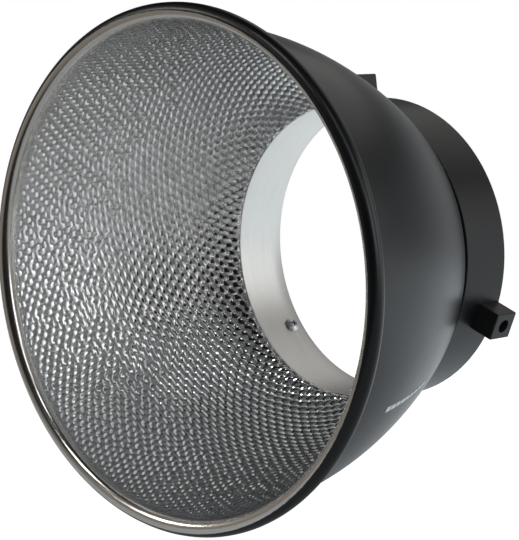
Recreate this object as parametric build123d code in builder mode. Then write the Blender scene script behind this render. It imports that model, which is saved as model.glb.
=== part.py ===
"""Seven-inch hammered studio-flash reflector with a three-lug bayonet neck.

Frame: the optical axis lies along Y.  The origin is the centre of the neck's
rear edge, where the reflector meets the flash head.  The bowl opens towards -Y
and one bayonet lug points straight up, along +Z.
Lengths are in millimetres and angles in degrees.
"""
from build123d import *
from math import cos, radians, sin, sqrt
import os

os.makedirs("parts", exist_ok=True)

# ---------------------------------------------------------------- driving sizes
# Bowl: one spun aluminium sheet, from the rolled rim to the rear of the neck
rim_diameter = 180.0  # over the rolled bead
rim_to_mount = 109.0  # plane of the bead's centre to the neck's rear edge
sheet = 1.2  # thickness of the spun sheet
bead_diameter = 6.0  # rolled bead, over the sheet
bead_turn = 285.0  # how far the sheet curls round inside the bead
rim_lean = 4.9  # lean of the wall from the axis where it meets the bead
shoulder_lean = 45.6  # lean of the wall from the axis where it meets the neck
belly_shares = [(0.42, 0.191), (0.78, 0.589)]  # share of wall depth, share of taper

# Neck: the plain tube behind the bowl
neck_bore = 105.6  # clear diameter
neck_length = 21.7  # straight length, up to the bend
neck_bend = 1.6  # radius of the bend at mid-sheet

# Collar: a black band round the neck that backs the lugs
collar_wall = 1.0
collar_slack = 0.05  # radial gap between the neck and the collar
collar_setback = 0.2  # front edge of the collar behind the neck's bend
collar_edge = 0.25  # broken outer edges

# Bayonet lugs: square blocks, evenly spaced, one of them at the top
lug_angles = {"top": 0.0, "right": 120.0, "left": 240.0}  # clockwise, seen from the front
lug_width = 9.9  # round the neck
lug_length = 10.6  # along the axis
lug_height = 8.7  # above the collar
lug_setback = 0.7  # rear face in front of the neck's rear edge
lug_slack = 0.05  # gap under the lug
lug_edge = 0.5  # rounding of the edges
lock_hole_diameter = 5.0  # blind hole for the head's locking pin
lock_hole_depth = 4.0

# Lug screws: M3, cross-recessed pan head, driven from inside the neck
screw_diameter = 2.9
thread_slack = 0.05  # radial gap in the lug's tapped hole
passing_slack = 0.25  # radial gap in the sheet and the collar
screw_tip_gap = 0.4  # tip short of the lock hole's floor
screw_point = 0.4  # bevel at the tip
head_diameter = 5.4
head_height = 1.8
head_side = 0.7  # straight side under the dome
recess_span = 3.0
recess_slot = 0.75
recess_depth = 1.1
recess_taper = 10.0
recess_turn = 20.0

# ---------------------------------------------------------------- derived places
neck_mid = neck_bore / 2 + sheet / 2
neck_outer = neck_bore / 2 + sheet
bead_mid = (bead_diameter - sheet) / 2
bead_centre = ((rim_diameter - bead_diameter) / 2, -rim_to_mount)
wall_start = (
    bead_centre[0] - bead_mid * cos(radians(rim_lean)),
    bead_centre[1] - bead_mid * sin(radians(rim_lean)),
)
wall_end = (
    neck_mid + neck_bend * (1 - cos(radians(shoulder_lean))),
    -neck_length - neck_bend * sin(radians(shoulder_lean)),
)
collar_inner = neck_outer + collar_slack
collar_outer = collar_inner + collar_wall
collar_front = collar_setback - neck_length
lug_seat = collar_outer + lug_slack
lug_top = collar_outer + lug_height
lug_centre = -(lug_setback + lug_length / 2)
passing_radius = screw_diameter / 2 + passing_slack
screw_radius = screw_diameter / 2
head_radius = head_diameter / 2
head_seat = sqrt((neck_bore / 2) ** 2 - head_radius**2)  # its edge touches the bore
shank_length = lug_top - lock_hole_depth - screw_tip_gap - head_seat


# ---------------------------------------------------------------- helpers
def radial_plane(angle, along, reach=0.0):
    """Plane across the radius at an angle: Z points outwards and X to the rear."""
    outwards = Vector(sin(radians(angle)), 0, cos(radians(angle)))
    return Plane(origin=Vector(0, along, 0) + outwards * reach, x_dir=(0, 1, 0), z_dir=outwards)


def lean_direction(lean):
    """Direction of the wall towards the rear, leaning in towards the axis."""
    return (-sin(radians(lean)), cos(radians(lean)))


def belly_point(depth_share, taper_share):
    """Point of the mid-sheet line between the bead and the neck's bend."""
    radius = wall_start[0] + (wall_end[0] - wall_start[0]) * taper_share
    along = wall_start[1] + (wall_end[1] - wall_start[1]) * depth_share
    return (radius, along)


# Passing holes for the lug screws, through the sheet and the collar
with BuildPart() as screw_passages:
    for angle in lug_angles.values():
        with BuildSketch(radial_plane(angle, lug_centre, neck_bore / 2 - sheet)):
            Circle(passing_radius)
        extrude(amount=lug_seat - neck_bore / 2 + sheet)

# ---------------------------------------------------------------- reflector bowl
# The mid-sheet line runs round the bead's curl, down the belly of the bowl,
# through the neck's bend and along the neck.
with BuildPart() as reflector_bowl:
    with BuildSketch(Plane.XY):
        with BuildLine():
            CenterArc(bead_centre, bead_mid, 180 + rim_lean, bead_turn)
            Spline(
                wall_start,
                *[belly_point(*shares) for shares in belly_shares],
                wall_end,
                tangents=[lean_direction(rim_lean), lean_direction(shoulder_lean)],
            )
            CenterArc(
                (neck_mid + neck_bend, -neck_length),
                neck_bend,
                180 + shoulder_lean,
                -shoulder_lean,
            )
            Line((neck_mid, -neck_length), (neck_mid, 0))
        trace(line_width=sheet)
    revolve(axis=Axis.Y)
    add(screw_passages.part, mode=Mode.SUBTRACT)
reflector_bowl.part.label = "reflector_bowl"
export_step(reflector_bowl.part, "parts/reflector_bowl.step")

# ---------------------------------------------------------------- neck collar
with BuildPart() as neck_collar:
    with BuildSketch(Plane.XY):
        with BuildLine():
            Polyline(
                (collar_inner, collar_front),
                (collar_outer, collar_front),
                (collar_outer, 0),
                (collar_inner, 0),
                close=True,
            )
        make_face()
        chamfer(vertices().group_by(Axis.X)[-1], collar_edge)
    revolve(axis=Axis.Y)
    add(screw_passages.part, mode=Mode.SUBTRACT)
neck_collar.part.label = "neck_collar"
export_step(neck_collar.part, "parts/neck_collar.step")

# ---------------------------------------------------------------- bayonet lugs
# Each block is hollowed under to sit on the collar. A stepped hole goes right
# through it: the locking pin's hole from outside, the screw's thread from inside.
for place, angle in lug_angles.items():
    outer_face = radial_plane(angle, lug_centre, lug_top)
    outwards = Axis(outer_face.origin, outer_face.z_dir)
    with BuildPart() as lug:
        with BuildSketch(outer_face):
            Rectangle(lug_length, lug_width)
        extrude(amount=neck_mid - lug_top)
        crown = lug.faces().sort_by(outwards)[-1]
        fillet(crown.edges() + lug.edges().filter_by(outwards), lug_edge)
        Cylinder(lug_seat, 2 * rim_to_mount, rotation=(90, 0, 0), mode=Mode.SUBTRACT)
        with BuildSketch(outer_face):
            Circle(lock_hole_diameter / 2)
        extrude(amount=-lock_hole_depth, mode=Mode.SUBTRACT)
        with BuildSketch(outer_face):
            Circle(screw_radius + thread_slack)
        extrude(amount=neck_mid - lug_top, mode=Mode.SUBTRACT)
    lug.part.label = f"lug_{place}"
    export_step(lug.part, f"parts/lug_{place}.step")

# ---------------------------------------------------------------- lug screws
# The head's flat underside bears on the neck's bore; the shank points outwards.
for place, angle in lug_angles.items():
    seat = radial_plane(angle, lug_centre, head_seat)
    section = Plane(seat.origin, x_dir=(0, 1, 0), z_dir=Vector(0, 1, 0).cross(seat.z_dir))
    crown = radial_plane(angle, lug_centre, head_seat - head_height)
    with BuildPart() as screw:
        with BuildSketch(section):
            with BuildLine():
                TangentArc((0, -head_height), (head_radius, -head_side), tangent=(1, 0))
                Polyline(
                    (head_radius, -head_side),
                    (head_radius, 0),
                    (screw_radius, 0),
                    (screw_radius, shank_length - screw_point),
                    (screw_radius - screw_point, shank_length),
                    (0, shank_length),
                    (0, -head_height),
                )
            make_face()
        revolve(axis=Axis(seat.origin, seat.z_dir))
        with BuildSketch(crown):
            Rectangle(recess_span, recess_slot, rotation=recess_turn)
            Rectangle(recess_slot, recess_span, rotation=recess_turn)
        extrude(amount=recess_depth, taper=recess_taper, mode=Mode.SUBTRACT)
    screw.part.label = f"lug_screw_{place}"
    export_step(screw.part, f"parts/lug_screw_{place}.step")
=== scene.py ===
"""Looks of the studio flash reflector: a spun bowl, black outside and hammered inside,
with a rolled rim and a three-lug bayonet on its neck. The optical axis runs along Y and
the mouth faces -Y. Sizes of the object are in millimetres until a mesh is made. The
stage, the lights and the camera are in metres."""

import math

import bmesh
import bpy
import numpy as np
from mathutils import Matrix, Vector
from mathutils.geometry import delaunay_2d_cdt


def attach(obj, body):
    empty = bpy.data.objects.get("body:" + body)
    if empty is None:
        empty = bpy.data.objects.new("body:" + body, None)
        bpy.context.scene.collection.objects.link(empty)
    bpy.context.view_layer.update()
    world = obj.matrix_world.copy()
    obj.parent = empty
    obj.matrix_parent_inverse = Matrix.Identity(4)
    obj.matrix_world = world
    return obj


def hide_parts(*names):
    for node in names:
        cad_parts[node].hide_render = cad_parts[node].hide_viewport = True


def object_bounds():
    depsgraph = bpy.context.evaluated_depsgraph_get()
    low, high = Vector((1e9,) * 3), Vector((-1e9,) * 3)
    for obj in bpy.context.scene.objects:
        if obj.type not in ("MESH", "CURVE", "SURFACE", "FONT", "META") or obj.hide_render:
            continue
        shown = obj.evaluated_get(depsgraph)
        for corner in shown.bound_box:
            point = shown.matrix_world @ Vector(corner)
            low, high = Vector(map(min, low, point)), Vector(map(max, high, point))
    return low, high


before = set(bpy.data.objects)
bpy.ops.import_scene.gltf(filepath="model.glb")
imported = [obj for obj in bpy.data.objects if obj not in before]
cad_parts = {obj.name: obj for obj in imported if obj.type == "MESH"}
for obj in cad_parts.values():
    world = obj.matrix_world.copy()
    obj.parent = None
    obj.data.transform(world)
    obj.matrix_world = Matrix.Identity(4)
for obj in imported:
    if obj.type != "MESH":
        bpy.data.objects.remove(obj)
cad_low, cad_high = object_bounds()

MM = 0.001

# Spun sheet, as in the CAD source
SHEET = 1.2
NECK_RADIUS = 53.4
NECK_LENGTH = 21.7
BEND_RADIUS = 1.6
BEAD_CENTRE = (87.0, -109.0)
BEAD_RADIUS = 2.4
BEAD_TURN = 285.0
RIM_LEAN = 4.9
SHOULDER_LEAN = 45.6
BELLY_POINTS = [(66.51, -41.84), (78.74, -72.93)]

# Rounded edge of the neck: its radius, and how far its middle lies in from the corner
NECK_EDGE = 0.2
NECK_EDGE_MIDDLE = 0.06

# Fineness of the mesh: points round a ring and along each stretch of the profile, where
# the plain stretches have rings, and which points of a stretch the outside keeps
SEGMENTS = 240
BEND_POINTS = 9
BEAD_POINTS = 25
WALL_POINTS = 401
NECK_RINGS_INSIDE = (-6.0, -14.0)
NECK_RING_OUTSIDE = -12.0
LIP_RINGS = 2
BEAD_SKIP = 2
WALL_SKIP = 16
SMOOTH_ANGLE = math.radians(40.0)

# First points of the bend that have the neck's turned finish
NECK_BEND = 4

# Hammered pattern: one dome per blow, the blows on a spiral. A blow strays by up to the
# jitter, as a share of the pitch, and its height by the spread times as much
HAMMER_PITCH = 3.15
HAMMER_HEIGHT = 0.39
HAMMER_JITTER = 0.09
HEIGHT_SPREAD = 1.5
BLOW_TURN = math.pi * (3 - math.sqrt(5))

# Width of the plain strip between the pattern and the rolled rim
PLAIN_LIP = 0.9

# No blow is nearer to the pattern's edges than this share of the pitch
EDGE_CLEARANCE = 0.40

# Blows are shallower at the rim: their share of the height there, and the number of
# pitches over which a whole share is gained
RIM_SHARE = 0.5
RIM_PITCHES = 3.0

# Shape of a dome: points on its flank, as shares of the way to where three domes meet
# and of its height, and the height of the saddle between two domes
FLANK_REACH = 0.55
FLANK_HEIGHT = 0.70
SADDLE_HEIGHT = 0.25

# Points of the flat pattern that are nearer together than this count as one
SAME_PLACE = 1e-7

# Where the paint stops on the rolled rim, in degrees from its front, outward positive:
# the mean, and how the line wanders once and twice round the rim
PAINT_STOP = 10
PAINT_WANDER_TOP = -12
PAINT_WANDER_SIDE = -17
PAINT_WANDER_TWICE = 7
WHOLLY_BARE = 90.0

# Printed dashes on the outer wall
MARK_TURN = math.radians(129.3)
MARK_FROM, MARK_TO = -83.0, -53.0
MARK_WIDE, MARK_NARROW = 2.3, 0.8
MARK_DASHES = 9
MARK_FILL = 0.84
MARK_THICK = 0.05
MARK_CLEARANCE = 0.004
DASH_ROWS, DASH_COLUMNS = 4, 5

# Camera, fitted to the outlines in the photo
CAMERA_AZIMUTH = math.radians(43.41)
CAMERA_ELEVATION = math.radians(0.913)
CAMERA_ROLL = math.radians(-6.08)
CAMERA_DISTANCE = 0.8065
CAMERA_TARGET = Vector((-0.00637, -0.06209, -0.00305))
CAMERA_LENS, CAMERA_SENSOR = 152.53, 36.0

# Stage
FLOOR_GAP = 0.0005
FLOOR_HALF = 6.0
FLOOR_FRONT = -0.30
LIGHTS_AIM = (0, -0.05, 0)

# Slots of the bowl's materials
PAINT, HAMMERED, NECK = 0, 1, 2

# Points where domes meet: two at a saddle, three at a hollow
SADDLE, HOLLOW = 1, 2

RANDOM = np.random.RandomState(7)


# ---------------------------------------------------------------- profile of the sheet

def running_sum(steps):
    return np.concatenate([[0], np.cumsum(steps)])


def running_length(points):
    """The distance of each point along a line of points."""
    return running_sum(np.linalg.norm(np.diff(points, axis=0), axis=1))


def lean_direction(degrees):
    """Direction along the wall towards the mouth, as (radius, y)."""
    angle = math.radians(degrees)
    return np.array([math.sin(angle), -math.cos(angle)])


def smooth_curve(points, start_direction, end_direction, count):
    """Points and directions along a cubic curve through points, with given end directions."""
    points = np.array(points, float)
    knots = running_length(points)
    steps = np.diff(knots)
    size = len(points)
    matrix = np.zeros((size, size))
    right = np.zeros((size, 2))
    matrix[0, 0] = matrix[-1, -1] = 1
    right[0], right[-1] = start_direction, end_direction
    for i in range(1, size - 1):
        matrix[i, i - 1] = steps[i]
        matrix[i, i] = 2 * (steps[i - 1] + steps[i])
        matrix[i, i + 1] = steps[i - 1]
        before = (points[i] - points[i - 1]) / steps[i - 1]
        after = (points[i + 1] - points[i]) / steps[i]
        right[i] = 3 * (steps[i] * before + steps[i - 1] * after)
    slopes = np.linalg.solve(matrix, right)
    places, directions = [], []
    for u in np.linspace(0, knots[-1], count):
        i = min(int(np.searchsorted(knots, u, "right")) - 1, size - 2)
        h, t = steps[i], (u - knots[i]) / steps[i]
        p0, p1, m0, m1 = points[i], points[i + 1], slopes[i] * h, slopes[i + 1] * h
        places.append(
            p0 * (2 * t**3 - 3 * t**2 + 1) + m0 * (t**3 - 2 * t**2 + t)
            + p1 * (3 * t**2 - 2 * t**3) + m1 * (t**3 - t**2)
        )
        along = (
            p0 * (6 * t**2 - 6 * t) + m0 * (3 * t**2 - 4 * t + 1)
            + p1 * (6 * t - 6 * t**2) + m1 * (3 * t**2 - 2 * t)
        )
        directions.append(along / np.linalg.norm(along))
    return np.array(places), np.array(directions)


def bend_arc(count):
    """The bend between neck and wall, mid-sheet, from the neck towards the wall."""
    angles = np.radians(np.linspace(0, SHOULDER_LEAN, count))
    centre = np.array([NECK_RADIUS + BEND_RADIUS, -NECK_LENGTH])
    places = centre + BEND_RADIUS * np.stack([-np.cos(angles), -np.sin(angles)], axis=1)
    return places, np.stack([np.sin(angles), -np.cos(angles)], axis=1)


def bead_arc(count):
    """The rolled rim, mid-sheet, from the wall round the front and the outside."""
    angles = np.radians(180 + RIM_LEAN + np.linspace(0, BEAD_TURN, count))
    outward = np.stack([np.cos(angles), np.sin(angles)], axis=1)
    directions = np.stack([-outward[:, 1], outward[:, 0]], axis=1)
    return np.array(BEAD_CENTRE) + BEAD_RADIUS * outward, directions


def inner_side(places, directions, gap=SHEET / 2):
    """The sheet's face inside the bowl, which is also the outside of the rolled rim."""
    return places + gap * np.stack([directions[:, 1], -directions[:, 0]], axis=1)


def outer_side(places, directions):
    return inner_side(places, directions, -SHEET / 2)


bend_places, bend_directions = bend_arc(BEND_POINTS)
bead_places, bead_directions = bead_arc(BEAD_POINTS)
wall_places, wall_directions = smooth_curve(
    [bend_places[-1], *BELLY_POINTS, bead_places[0]],
    lean_direction(SHOULDER_LEAN), lean_direction(RIM_LEAN), WALL_POINTS,
)


# ---------------------------------------------------------------- mesh helpers

class Sheet:
    """Collects the points of a turned body, and its faces with their material slots."""

    def __init__(self):
        self.points, self.faces, self.kinds = [], [], []

    def ring(self, radius, y):
        """Adds a ring of points and returns the number of its first one."""
        start = len(self.points)
        for j in range(SEGMENTS):
            angle = 2 * math.pi * j / SEGMENTS
            self.points.append((radius * math.sin(angle), y, radius * math.cos(angle)))
        return start

    def bridge(self, first, second, kind):
        for j in range(SEGMENTS):
            k = (j + 1) % SEGMENTS
            self.faces.append((first + j, first + k, second + k, second + j))
            self.kinds.append(kind)

    def run(self, previous, profile, kind):
        """Goes on from a ring along a profile of (radius, y) and returns the last ring."""
        for radius, y in profile:
            current = self.ring(radius, y)
            self.bridge(previous, current, kind)
            previous = current
        return previous


def make_object(name, points, faces, materials, kinds=None):
    """A mesh object from points in millimetres, riding on the root body."""
    mesh = bpy.data.meshes.new(name)
    mesh.from_pydata([Vector(p) * MM for p in points], [], faces)
    for material in materials:
        mesh.materials.append(material)
    if kinds is not None:
        mesh.polygons.foreach_set("material_index", np.array(kinds, np.int32))
    work = bmesh.new()
    work.from_mesh(mesh)
    bmesh.ops.recalc_face_normals(work, faces=work.faces)
    for face in work.faces:
        face.smooth = True
    for edge in work.edges:
        edge.smooth = len(edge.link_faces) == 2 and edge.calc_face_angle(0.0) < SMOOTH_ANGLE
    work.to_mesh(mesh)
    work.free()
    mesh.update()
    piece = bpy.data.objects.new(name, mesh)
    bpy.context.scene.collection.objects.link(piece)
    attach(piece, "root")
    return piece


# ---------------------------------------------------------------- materials

class Nodes:
    """A material with a Principled shader and short ways to add nodes to it."""

    def __init__(self, name):
        self.material = bpy.data.materials.new(name)
        self.material.use_nodes = True
        self.tree = self.material.node_tree
        self.shader = self.tree.nodes["Principled BSDF"]
        self.place = self.add("ShaderNodeTexCoord").outputs["Object"]

    def add(self, kind, **values):
        node = self.tree.nodes.new(kind)
        for key, value in values.items():
            setattr(node, key, value)
        return node

    def link(self, source, target):
        self.tree.links.new(source, target)

    def put(self, value, target):
        """Links a socket to the target, or sets the target to a number or a colour."""
        if isinstance(value, (int, float)):
            target.default_value = value
        elif isinstance(value, tuple):
            target.default_value = (*value, 1.0)
        else:
            self.link(value, target)

    def finish(self, **values):
        """Sets the shader's inputs, which are named with _ for each space."""
        for key, value in values.items():
            self.put(value, self.shader.inputs[key.replace("_", " ")])

    def noise(self, scale, detail=3.0, roughness=0.5, place=None):
        node = self.add("ShaderNodeTexNoise")
        self.put(scale, node.inputs["Scale"])
        self.put(detail, node.inputs["Detail"])
        self.put(roughness, node.inputs["Roughness"])
        self.link(self.place if place is None else place, node.inputs["Vector"])
        return node.outputs["Fac"]

    def math(self, operation, *terms):
        node = self.add("ShaderNodeMath", operation=operation)
        for socket, term in zip(node.inputs, terms):
            self.put(term, socket)
        return node.outputs[0]

    def span(self, value, low=0.3, high=0.7, to_low=0.0, to_high=1.0, smooth=False):
        """A value from low to high, carried over to a range from to_low to to_high."""
        node = self.add("ShaderNodeMapRange", clamp=True)
        if smooth:
            node.interpolation_type = "SMOOTHSTEP"
        self.link(value, node.inputs["Value"])
        limits = {"From Min": low, "From Max": high, "To Min": to_low, "To Max": to_high}
        for key, number in limits.items():
            self.put(number, node.inputs[key])
        return node.outputs["Result"]

    def blend(self, share, first, second):
        """A colour between first and second, each a colour or a socket."""
        node = self.add("ShaderNodeMix", data_type="RGBA")
        self.link(share, node.inputs["Factor"])
        self.put(first, node.inputs[6])
        self.put(second, node.inputs[7])
        return node.outputs[2]

    def mix(self, share, first, second):
        """A number between first and second, each a number or a socket."""
        node = self.add("ShaderNodeMix", data_type="FLOAT")
        self.link(share, node.inputs["Factor"])
        self.put(first, node.inputs[2])
        self.put(second, node.inputs[3])
        return node.outputs[0]

    def bump(self, heights):
        """Chains bumps, each (height socket, strength, distance in metres)."""
        normal = None
        for height, strength, distance in heights:
            node = self.add("ShaderNodeBump")
            self.put(strength, node.inputs["Strength"])
            self.put(distance, node.inputs["Distance"])
            self.link(height, node.inputs["Height"])
            if normal is not None:
                self.link(normal, node.inputs["Normal"])
            normal = node.outputs["Normal"]
        self.link(normal, self.shader.inputs["Normal"])

    def turned(self, lines, around):
        """Coordinates that stretch noise round the axis. They change fast, by lines, along
        the axis and outward, and slowly, by around, from one side to the other."""
        outward_share = 0.7
        split = self.add("ShaderNodeSeparateXYZ")
        self.link(self.place, split.inputs[0])
        x, y, z = split.outputs
        squares = self.math("ADD", self.math("MULTIPLY", x, x), self.math("MULTIPLY", z, z))
        outward = self.math("MULTIPLY", self.math("SQRT", squares), outward_share)
        join = self.add("ShaderNodeCombineXYZ")
        self.link(self.math("MULTIPLY", x, around), join.inputs[0])
        self.link(self.math("MULTIPLY", self.math("ADD", y, outward), lines), join.inputs[1])
        self.link(self.math("MULTIPLY", z, around), join.inputs[2])
        return join.outputs[0]

    def gloss(self, cloud, fine, roughness, least, most):
        """Roughness that wanders from least to most times its value, with a fine grain."""
        wander = self.span(cloud, to_low=roughness * least, to_high=roughness * most)
        return self.math("ADD", wander, self.span(fine, to_low=-0.02, to_high=0.03))


def shade(colour, factor):
    return tuple(c * factor for c in colour)


def bare_aluminium(name, colour, roughness, stain, grain):
    """Bare aluminium with faint stains, a fine grain and uneven gloss."""
    n = Nodes(name)
    cloud = n.noise(38.0, detail=4.0, roughness=0.55)
    fine = n.noise(900.0, roughness=0.6)
    stained = n.blend(n.span(cloud, low=0.35), colour, shade(colour, 1 - stain))
    rough = n.gloss(cloud, fine, roughness, least=0.85, most=1.2)
    n.finish(Base_Color=stained, Metallic=1.0, Roughness=rough)
    n.bump([(fine, 0.10, grain)])
    return n.material


def brushed_aluminium(name, colour, roughness):
    """Turned aluminium with fine lines round the axis."""
    n = Nodes(name)
    lines = n.noise(1.0, detail=4.0, roughness=0.6, place=n.turned(lines=4200.0, around=60.0))
    cloud = n.noise(45.0)
    share = n.math("MULTIPLY", n.span(lines), n.span(cloud, high=0.75, to_low=0.35))
    rough = n.span(lines, 0.25, 0.75, to_low=roughness * 0.88, to_high=roughness * 1.15)
    n.finish(Base_Color=n.blend(share, colour, shade(colour, 0.86)), Metallic=1.0, Roughness=rough)
    n.bump([(lines, 0.12, 0.00002), (n.noise(1600.0), 0.06, 0.00001)])
    return n.material


def black_paint(name, colour, roughness, peel_height, peel_scale=1500.0):
    """Satin black paint with orange peel and slightly uneven gloss."""
    n = Nodes(name)
    cloud = n.noise(30.0, detail=4.0, roughness=0.55)
    peel = n.noise(peel_scale, detail=2.0)
    paint = n.blend(n.span(cloud, low=0.35), colour, shade(colour, 1.35))
    satin = n.gloss(cloud, peel, roughness, least=0.93, most=1.08)
    n.finish(Base_Color=paint, Specular_IOR_Level=0.32, Roughness=satin)
    n.bump([(peel, 0.25, peel_height)])
    return n.material


def coated_sheet(name, colour, roughness, bare_colour, bare_roughness):
    """Black paint that stops at a line on the rolled rim, with bare aluminium beyond it.
    The mesh's own value 'bare' is the angle past that line, in degrees."""
    ragged_edge = 3.0
    n = Nodes(name)
    cloud = n.noise(30.0, detail=4.0, roughness=0.55)
    peel = n.noise(1500.0, detail=2.0)
    ragged = n.noise(700.0, roughness=0.6)
    lines = n.noise(1.0, roughness=0.6, place=n.turned(lines=3500.0, around=40.0))
    past = n.add("ShaderNodeAttribute", attribute_name="bare").outputs["Fac"]
    past = n.math("ADD", past, n.span(ragged, 0.2, 0.8, -ragged_edge, ragged_edge))
    bare = n.span(past, -ragged_edge, ragged_edge, smooth=True)
    paint = n.blend(n.span(cloud, low=0.35), colour, shade(colour, 1.35))
    metal = n.blend(n.span(lines), bare_colour, shade(bare_colour, 0.85))
    satin = n.gloss(cloud, peel, roughness, least=0.93, most=1.08)
    polish = n.span(lines, to_low=bare_roughness * 0.9, to_high=bare_roughness * 1.15)
    n.finish(
        Base_Color=n.blend(bare, paint, metal), Metallic=bare,
        Specular_IOR_Level=0.4, Roughness=n.mix(bare, satin, polish),
    )
    n.bump([(peel, 0.1, 0.00002), (bare, 0.35, -0.00004)])
    return n.material


def printed_grey(name, colour):
    """Thin matt screen print, slightly broken where the ink is thin."""
    n = Nodes(name)
    thin = n.noise(900.0, detail=4.0, roughness=0.6)
    cloud = n.noise(160.0)
    broken = n.math("MULTIPLY", n.span(thin, 0.45, 0.75), n.span(cloud))
    ink = n.blend(broken, colour, shade(colour, 0.55))
    n.finish(Base_Color=ink, Roughness=n.span(thin, to_low=0.5, to_high=0.62))
    n.bump([(thin, 0.2, 0.00002)])
    return n.material


paint_and_lip = coated_sheet(
    "bowl_paint_and_bare_lip", colour=(0.0055, 0.006, 0.007), roughness=0.30,
    bare_colour=(0.86, 0.83, 0.79), bare_roughness=0.20,
)
hammered = bare_aluminium(
    "hammered_aluminium", colour=(0.73, 0.735, 0.74), roughness=0.13, stain=0.10, grain=0.00001,
)
neck_metal = brushed_aluminium("neck_aluminium", colour=(0.76, 0.75, 0.725), roughness=0.44)
collar_paint = black_paint(
    "collar_paint", colour=(0.004, 0.004, 0.0045), roughness=0.36, peel_height=0.00002,
)
lug_black = black_paint(
    "lug_black", colour=(0.012, 0.012, 0.0125), roughness=0.42, peel_height=0.00003, peel_scale=2200.0,
)
screw_steel = bare_aluminium(
    "screw_steel", colour=(0.68, 0.68, 0.70), roughness=0.36, stain=0.15, grain=0.00001,
)
mark_print = printed_grey("mark_print", colour=(0.80, 0.81, 0.82))


# ---------------------------------------------------------------- hammered inside of the bowl

def near(angle, reference):
    """The same angle, within half a turn of the reference."""
    return reference + (angle - reference + math.pi) % (2 * math.pi) - math.pi


def lay_blows(first_ring, last_ring, distance, radius):
    """The pattern's points: distance along the wall, turn and height of each, and its
    number in the sheet. The two rings come first, then the blows, whose number is -1."""
    total = distance[-1]
    area = running_sum(np.diff(distance) * (radius[1:] + radius[:-1]) * math.pi)
    blows = int(round(area[-1] / (HAMMER_PITCH ** 2 * math.sqrt(3) / 2)))
    edge = HAMMER_PITCH * EDGE_CLEARANCE
    rows = []
    for start, s in ((first_ring, 0.0), (last_ring, total)):
        for j in range(SEGMENTS):
            rows.append((s, 2 * math.pi * j / SEGMENTS, 0.0, start + j))
    for k in range(blows):
        s = np.interp(area[-1] * (k + 0.5) / blows, area, distance)
        shift = RANDOM.uniform(-1, 1, 3) * HAMMER_JITTER
        s = min(max(s + shift[0] * HAMMER_PITCH, edge), total - edge)
        turn = k * BLOW_TURN + shift[1] * HAMMER_PITCH / np.interp(s, distance, radius)
        fade = min(1.0, RIM_SHARE + (total - s) / (RIM_PITCHES * HAMMER_PITCH))
        rows.append((s, turn, HAMMER_HEIGHT * fade * (1 + HEIGHT_SPREAD * shift[2]), -1))
    return [np.array(column) for column in zip(*rows)]


def join_blows(along, turn, distance, radius):
    """Triangles between the points. The wall is laid flat with its angles kept, so that
    they are as even on the wall as on the flat."""
    scaled = running_sum(np.diff(distance) * 2 / (radius[1:] + radius[:-1]))
    flat_radius = np.exp(np.interp(along, distance, scaled))
    flat_places = zip(flat_radius * np.cos(turn), flat_radius * np.sin(turn))
    flat = [Vector((float(a), float(b))) for a, b in flat_places]
    _, _, triangles, origins, _, _ = delaunay_2d_cdt(flat, [], [], 0, SAME_PLACE)
    origin = np.array([o[0] for o in origins])
    corners = origin[np.array(triangles)]
    across_neck = (corners < SEGMENTS).all(axis=1)
    return corners[~across_neck]


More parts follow.
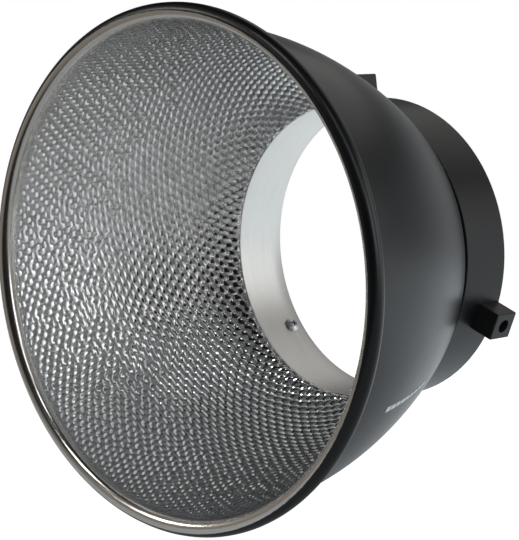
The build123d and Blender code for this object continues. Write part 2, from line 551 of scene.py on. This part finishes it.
def hammered_patch(sheet, first_ring, last_ring, places, directions):
    """Fills the inside wall between two rings with close-packed domes, one per hammer blow.
    Returns a value for each point of the sheet: SADDLE, HOLLOW or 0."""
    distance = running_length(places)
    radius = places[:, 0]
    along, turn, height, number = lay_blows(first_ring, last_ring, distance, radius)
    corners = join_blows(along, turn, distance, radius)
    count = len(corners)

    corner_turn = near(turn[corners], turn[corners[:, 0]][:, None])
    corner_along = along[corners]
    middle_turn, middle_along = corner_turn.mean(axis=1), corner_along.mean(axis=1)
    flank_turn = corner_turn + FLANK_REACH * (middle_turn[:, None] - corner_turn)
    flank_along = corner_along + FLANK_REACH * (middle_along[:, None] - corner_along)
    flank_height = height[corners] * FLANK_HEIGHT

    edges = np.stack([corners, np.roll(corners, -1, axis=1)], axis=2).reshape(-1, 2)
    pairs, edge_of = np.unique(np.sort(edges, axis=1), axis=0, return_inverse=True)
    edge_of = edge_of.reshape(count, 3)
    edge_turn = (turn[pairs[:, 0]] + near(turn[pairs[:, 1]], turn[pairs[:, 0]])) / 2
    edge_along = along[pairs].mean(axis=1)
    on_ring = number[pairs] >= 0
    edge_height = np.where(on_ring.any(axis=1), 0.0, SADDLE_HEIGHT * height[pairs].mean(axis=1))
    part_of_ring = on_ring.all(axis=1)

    blow = np.where(number < 0)[0]
    blow_start = len(sheet.points)
    edge_start = blow_start + len(blow)
    middle_start = edge_start + len(pairs)
    flank_start = middle_start + count
    number[blow] = blow_start + np.arange(len(blow))
    all_along = np.concatenate([along[blow], edge_along, middle_along, flank_along.ravel()])
    all_turn = np.concatenate([turn[blow], edge_turn, middle_turn, flank_turn.ravel()])
    all_height = np.concatenate([height[blow], edge_height, np.zeros(count), flank_height.ravel()])
    up_r = np.interp(all_along, distance, directions[:, 1])
    up_y = np.interp(all_along, distance, -directions[:, 0])
    r = np.interp(all_along, distance, radius) + all_height * up_r
    y = np.interp(all_along, distance, places[:, 1]) + all_height * up_y
    sheet.points.extend(zip(r * np.sin(all_turn), y, r * np.cos(all_turn)))

    for t in range(count):
        middle = middle_start + t
        for c in range(3):
            d = (c + 1) % 3
            p, q = number[corners[t, c]], number[corners[t, d]]
            flank_p, flank_q = flank_start + 3 * t + c, flank_start + 3 * t + d
            m = edge_start + edge_of[t, c]
            if part_of_ring[edge_of[t, c]]:
                made = [(p, q, flank_q), (p, flank_q, flank_p), (flank_p, flank_q, middle)]
            else:
                made = [(p, m, flank_p), (flank_p, m, middle), (m, q, flank_q), (m, flank_q, middle)]
            sheet.faces.extend(made)
            sheet.kinds.extend([HAMMERED] * len(made))

    meeting = np.zeros(len(sheet.points), np.int8)
    meeting[edge_start:middle_start] = SADDLE
    meeting[middle_start:flank_start] = HOLLOW
    return meeting


def crease_domes(mesh, meeting):
    """Makes the lines between domes sharp. Each runs from a saddle to a hollow."""
    kind = np.zeros(len(mesh.vertices), np.int8)
    kind[:len(meeting)] = meeting
    ends = np.zeros(len(mesh.edges) * 2, np.int32)
    mesh.edges.foreach_get("vertices", ends)
    end_kinds = np.sort(kind[ends.reshape(-1, 2)], axis=1)
    creased = (end_kinds == (SADDLE, HOLLOW)).all(axis=1)
    sharp = np.zeros(len(mesh.edges), bool)
    attribute = mesh.attributes.get("sharp_edge") or mesh.attributes.new("sharp_edge", "BOOLEAN", "EDGE")
    attribute.data.foreach_get("value", sharp)
    attribute.data.foreach_set("value", sharp | creased)


def paint_line(turn):
    """Where the paint stops on the rolled rim. It wanders, as a masked edge does.
    The turn starts at the top and goes towards +X."""
    once = PAINT_WANDER_TOP * np.cos(turn) + PAINT_WANDER_SIDE * np.sin(turn)
    return PAINT_STOP + once + PAINT_WANDER_TWICE * np.cos(2 * turn)


def mark_bare(mesh, points, bare_parts, bead):
    """Writes how far each point is past the paint line, in degrees round the bead."""
    x, y, z = np.array(points).T
    turn, radius = np.arctan2(x, z), np.hypot(x, z)
    round_bead = np.degrees(np.arctan2(radius[bead] - BEAD_CENTRE[0], BEAD_CENTRE[1] - y[bead]))
    past = np.full(len(points), -WHOLLY_BARE)
    past[bead] = np.clip(paint_line(turn[bead]) - round_bead, -WHOLLY_BARE, WHOLLY_BARE)
    for part in bare_parts:
        past[part] = WHOLLY_BARE
    value = mesh.attributes.new("bare", "FLOAT", "POINT")
    value.data.foreach_set("value", past.astype(np.float32))


def make_bowl():
    """The spun sheet: the neck, the hammered wall, the plain lip, the rolled rim and then
    the outside, back to the neck."""
    sheet = Sheet()
    inner_neck, outer_neck = NECK_RADIUS - SHEET / 2, NECK_RADIUS + SHEET / 2
    start = sheet.ring(inner_neck + NECK_EDGE, 0.0)
    rounding = [(inner_neck + NECK_EDGE_MIDDLE, -NECK_EDGE_MIDDLE), (inner_neck, -NECK_EDGE)]
    ring = sheet.run(start, rounding + [(inner_neck, y) for y in NECK_RINGS_INSIDE], NECK)
    bend_inside = inner_side(bend_places, bend_directions)
    ring = sheet.run(ring, bend_inside[:NECK_BEND], NECK)

    wall = inner_side(wall_places, wall_directions)
    left = np.cumsum(np.linalg.norm(np.diff(wall[::-1], axis=0), axis=1))
    stop = len(wall) - 2 - int(np.searchsorted(left, PLAIN_LIP))
    span_places = np.concatenate([bend_inside[NECK_BEND - 1:], wall[1:stop + 1]])
    span_directions = np.concatenate([bend_directions[NECK_BEND - 1:], wall_directions[1:stop + 1]])
    far = sheet.ring(*span_places[-1])
    meeting = hammered_patch(sheet, ring, far, span_places, span_directions)

    lip_start = len(sheet.points)
    lip = np.linspace(stop, len(wall) - 1, LIP_RINGS + 1).astype(int)[1:]
    ring = sheet.run(far, wall[lip], PAINT)
    bead_start = len(sheet.points)
    ring = sheet.run(ring, inner_side(bead_places, bead_directions)[1:], PAINT)
    bead_stop = len(sheet.points)
    ring = sheet.run(ring, outer_side(bead_places, bead_directions)[::-BEAD_SKIP], PAINT)
    ring = sheet.run(ring, outer_side(wall_places, wall_directions)[::-WALL_SKIP][1:], PAINT)
    ring = sheet.run(ring, outer_side(bend_places, bend_directions)[::-1][1:], PAINT)
    rounding = [(outer_neck, -NECK_EDGE), (outer_neck - NECK_EDGE, 0.0)]
    ring = sheet.run(ring, [(outer_neck, NECK_RING_OUTSIDE)] + rounding, PAINT)
    sheet.bridge(ring, start, NECK)

    finishes = [paint_and_lip, hammered, neck_metal]
    bowl = make_object("bowl_shell", sheet.points, sheet.faces, finishes, sheet.kinds)
    crease_domes(bowl.data, meeting)
    bare_parts = [slice(far, far + SEGMENTS), slice(lip_start, bead_start)]
    mark_bare(bowl.data, sheet.points, bare_parts, slice(bead_start, bead_stop))
    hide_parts("reflector_bowl")


# ---------------------------------------------------------------- printed mark

def dash_faces(base):
    """Faces of one dash: a grid on top, the same grid below it and a strip round both."""
    under = DASH_ROWS * DASH_COLUMNS

    def at(i, j):
        return base + i * DASH_COLUMNS + j

    faces = []
    for i in range(DASH_ROWS - 1):
        for j in range(DASH_COLUMNS - 1):
            a, b, c, d = at(i, j), at(i, j + 1), at(i + 1, j + 1), at(i + 1, j)
            faces.append((a, b, c, d))
            faces.append((under + a, under + d, under + c, under + b))
    rim = [at(0, j) for j in range(DASH_COLUMNS)]
    rim += [at(i, DASH_COLUMNS - 1) for i in range(1, DASH_ROWS)]
    rim += [at(DASH_ROWS - 1, j) for j in range(DASH_COLUMNS - 2, -1, -1)]
    rim += [at(i, 0) for i in range(DASH_ROWS - 2, 0, -1)]
    for p, q in zip(rim, rim[1:] + rim[:1]):
        faces.append((p, q, q + under, p + under))
    return faces


def make_mark():
    """A plain row of printed dashes on the outer wall, narrowing towards the neck."""
    outside = outer_side(wall_places, wall_directions)
    wall_radius, wall_y = outside[np.argsort(outside[:, 1])].T
    points, faces = [], []
    starts = np.linspace(MARK_FROM, MARK_TO, MARK_DASHES + 1)
    for first, following in zip(starts[:-1], starts[1:]):
        last = first + (following - first) * MARK_FILL
        faces += dash_faces(len(points))
        for lift in (MARK_THICK, MARK_CLEARANCE):
            for y in np.linspace(first, last, DASH_ROWS):
                share = (y - MARK_FROM) / (MARK_TO - MARK_FROM)
                width = MARK_WIDE + share * (MARK_NARROW - MARK_WIDE)
                radius = float(np.interp(y, wall_y, wall_radius)) + lift
                for side in np.linspace(-0.5, 0.5, DASH_COLUMNS):
                    angle = MARK_TURN + side * width / radius
                    points.append((radius * math.sin(angle), y, radius * math.cos(angle)))
    make_object("index_dashes", points, faces, [mark_print])


# ---------------------------------------------------------------- CAD pieces that stay

def finish_cad_pieces():
    for name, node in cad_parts.items():
        if name == "neck_collar":
            finish = collar_paint
        elif name.startswith("lug_screw"):
            finish = screw_steel
        elif name.startswith("lug"):
            finish = lug_black
        else:
            continue
        node.data.materials.clear()
        node.data.materials.append(finish)


# ---------------------------------------------------------------- floor, light and camera

def stage_floor():
    """A white floor, even for the camera. As a source of light it is dim in front of the
    mouth, brightest close behind the object and weaker further away."""
    n = Nodes("stage_floor_white")
    split = n.add("ShaderNodeSeparateXYZ")
    n.link(n.place, split.inputs[0])
    y = split.outputs[1]
    near_object = n.span(y, -0.15, 0.10, to_low=0.16, to_high=0.86, smooth=True)
    far_off = n.span(y, 0.4, 1.2, to_low=1.0, to_high=0.6, smooth=True)
    cloud = n.span(n.noise(3.0, detail=2.0))
    seen = n.add("ShaderNodeLightPath").outputs["Is Camera Ray"]
    n.finish(
        Base_Color=n.blend(cloud, (0.52, 0.52, 0.52), (0.50, 0.50, 0.50)),
        Roughness=0.9,
        Emission_Strength=n.mix(seen, n.math("MULTIPLY", near_object, far_off), 1.0),
        Emission_Color=n.blend(seen, (0.86, 0.945, 1.0), (0.99, 0.995, 1.0)),
    )
    low = cad_low.z - FLOOR_GAP
    corners = [
        (-FLOOR_HALF, FLOOR_FRONT, low), (FLOOR_HALF, FLOOR_FRONT, low),
        (FLOOR_HALF, FLOOR_HALF, low), (-FLOOR_HALF, FLOOR_HALF, low),
    ]
    mesh = bpy.data.meshes.new("stage_floor")
    mesh.from_pydata(corners, [], [(0, 1, 2, 3)])
    mesh.materials.append(n.material)
    floor = bpy.data.objects.new("stage_floor", mesh)
    bpy.context.scene.collection.objects.link(floor)


def softbox(name, place, width, height, watts, colour=(1.0, 1.0, 1.0)):
    """A rectangular light that the camera doesn't see."""
    data = bpy.data.lights.new(name, "AREA")
    data.shape = "RECTANGLE"
    data.size, data.size_y = width, height
    data.energy = watts
    data.color = colour
    light = bpy.data.objects.new(name, data)
    light.location = place
    light.rotation_mode = "QUATERNION"
    light.rotation_quaternion = (Vector(place) - Vector(LIGHTS_AIM)).to_track_quat("Z", "Y")
    light.visible_camera = False
    bpy.context.scene.collection.objects.link(light)


def studio_world():
    """Plain white for the camera. As light, a room that is brightest low down behind the
    object, most of all on the left, with a dim patch at the front left and almost dark
    elsewhere."""
    world = bpy.data.worlds.new("studio")
    bpy.context.scene.world = world
    world.use_nodes = True
    tree = world.node_tree
    tree.nodes.clear()
    place = tree.nodes.new("ShaderNodeTexCoord")
    split = tree.nodes.new("ShaderNodeSeparateXYZ")
    room = tree.nodes.new("ShaderNodeBackground")
    seen = tree.nodes.new("ShaderNodeBackground")
    path = tree.nodes.new("ShaderNodeLightPath")
    choose = tree.nodes.new("ShaderNodeMixShader")
    out = tree.nodes.new("ShaderNodeOutputWorld")
    tree.links.new(place.outputs["Generated"], split.inputs[0])

    def ramp(axis, low, high, to_low, to_high):
        """Goes smoothly from to_low to to_high as the direction's axis goes from low to high."""
        node = tree.nodes.new("ShaderNodeMapRange")
        node.interpolation_type = "SMOOTHSTEP"
        tree.links.new(split.outputs[axis], node.inputs["Value"])
        limits = {"From Min": low, "From Max": high, "To Min": to_low, "To Max": to_high}
        for key, value in limits.items():
            node.inputs[key].default_value = value
        return node.outputs["Result"]

    def combine(operation, a, b):
        node = tree.nodes.new("ShaderNodeMath")
        node.operation = operation
        tree.links.new(a, node.inputs[0])
        tree.links.new(b, node.inputs[1])
        return node.outputs[0]

    low_behind = combine("MULTIPLY", ramp("Y", -0.05, 0.5, 0.0, 0.30), ramp("Z", 0.1, 0.45, 1.0, 0.0))
    behind = combine("MULTIPLY", low_behind, ramp("X", -0.3, 0.6, 1.7, 0.6))
    ahead = combine("MULTIPLY", ramp("Y", -0.3, 0.2, 1.0, 0.0), ramp("X", -0.6, -0.2, 0.20, 0.010))
    tree.links.new(combine("ADD", behind, ahead), room.inputs["Strength"])
    tint = tree.nodes.new("ShaderNodeMix")
    tint.data_type = "RGBA"
    tree.links.new(ramp("Y", -0.2, 0.2, 0.0, 1.0), tint.inputs["Factor"])
    tint.inputs[6].default_value = (1.0, 0.92, 0.82, 1.0)
    tint.inputs[7].default_value = (0.96, 0.985, 1.0, 1.0)
    tree.links.new(tint.outputs[2], room.inputs["Color"])
    seen.inputs["Color"].default_value = (1.0, 1.0, 1.0, 1.0)
    seen.inputs["Strength"].default_value = 1.0
    tree.links.new(path.outputs["Is Camera Ray"], choose.inputs["Fac"])
    tree.links.new(room.outputs[0], choose.inputs[1])
    tree.links.new(seen.outputs[0], choose.inputs[2])
    tree.links.new(choose.outputs[0], out.inputs["Surface"])


def aim_camera():
    """The photograph's viewpoint: 43 degrees to the right of the mouth and almost level."""
    level = math.cos(CAMERA_ELEVATION)
    back = Vector((
        math.sin(CAMERA_AZIMUTH) * level, -math.cos(CAMERA_AZIMUTH) * level, math.sin(CAMERA_ELEVATION),
    ))
    data = bpy.data.cameras.new("camera")
    data.lens, data.sensor_width = CAMERA_LENS, CAMERA_SENSOR
    camera = bpy.data.objects.new("camera", data)
    turn = (-back).to_track_quat("-Z", "Y").to_matrix() @ Matrix.Rotation(CAMERA_ROLL, 3, "Z")
    camera.matrix_world = Matrix.Translation(CAMERA_TARGET + back * CAMERA_DISTANCE) @ turn.to_4x4()
    bpy.context.scene.collection.objects.link(camera)
    bpy.context.scene.camera = camera


# ---------------------------------------------------------------- the scene

make_bowl()
make_mark()
finish_cad_pieces()
stage_floor()
studio_world()
softbox("front_above", (-0.1, -1.4, 1.4), width=0.4, height=0.4, watts=3.6, colour=(0.96, 0.99, 1.0))
softbox("camera_above", (1.1, -1.1, 1.4), width=0.3, height=0.3, watts=1.5, colour=(0.96, 0.99, 1.0))
softbox("left_above", (-1.2, -1.3, 1.0), width=0.4, height=0.4, watts=4.5, colour=(1.0, 0.98, 0.95))
softbox("right_above", (1.3, -0.7, 0.8), width=0.45, height=0.45, watts=1.2)
softbox("right_side", (1.9, -0.30, 0.15), width=0.8, height=1.2, watts=8.0, colour=(0.96, 0.985, 1.0))
softbox("behind_above", (0.05, 1.2, 1.35), width=1.8, height=1.4, watts=4.8, colour=(1.0, 0.985, 0.96))
softbox("right_behind", (1.4, 1.0, 0.35), width=1.1, height=1.0, watts=5.4)
aim_camera()
bpy.context.scene.view_settings.view_transform = "Standard"
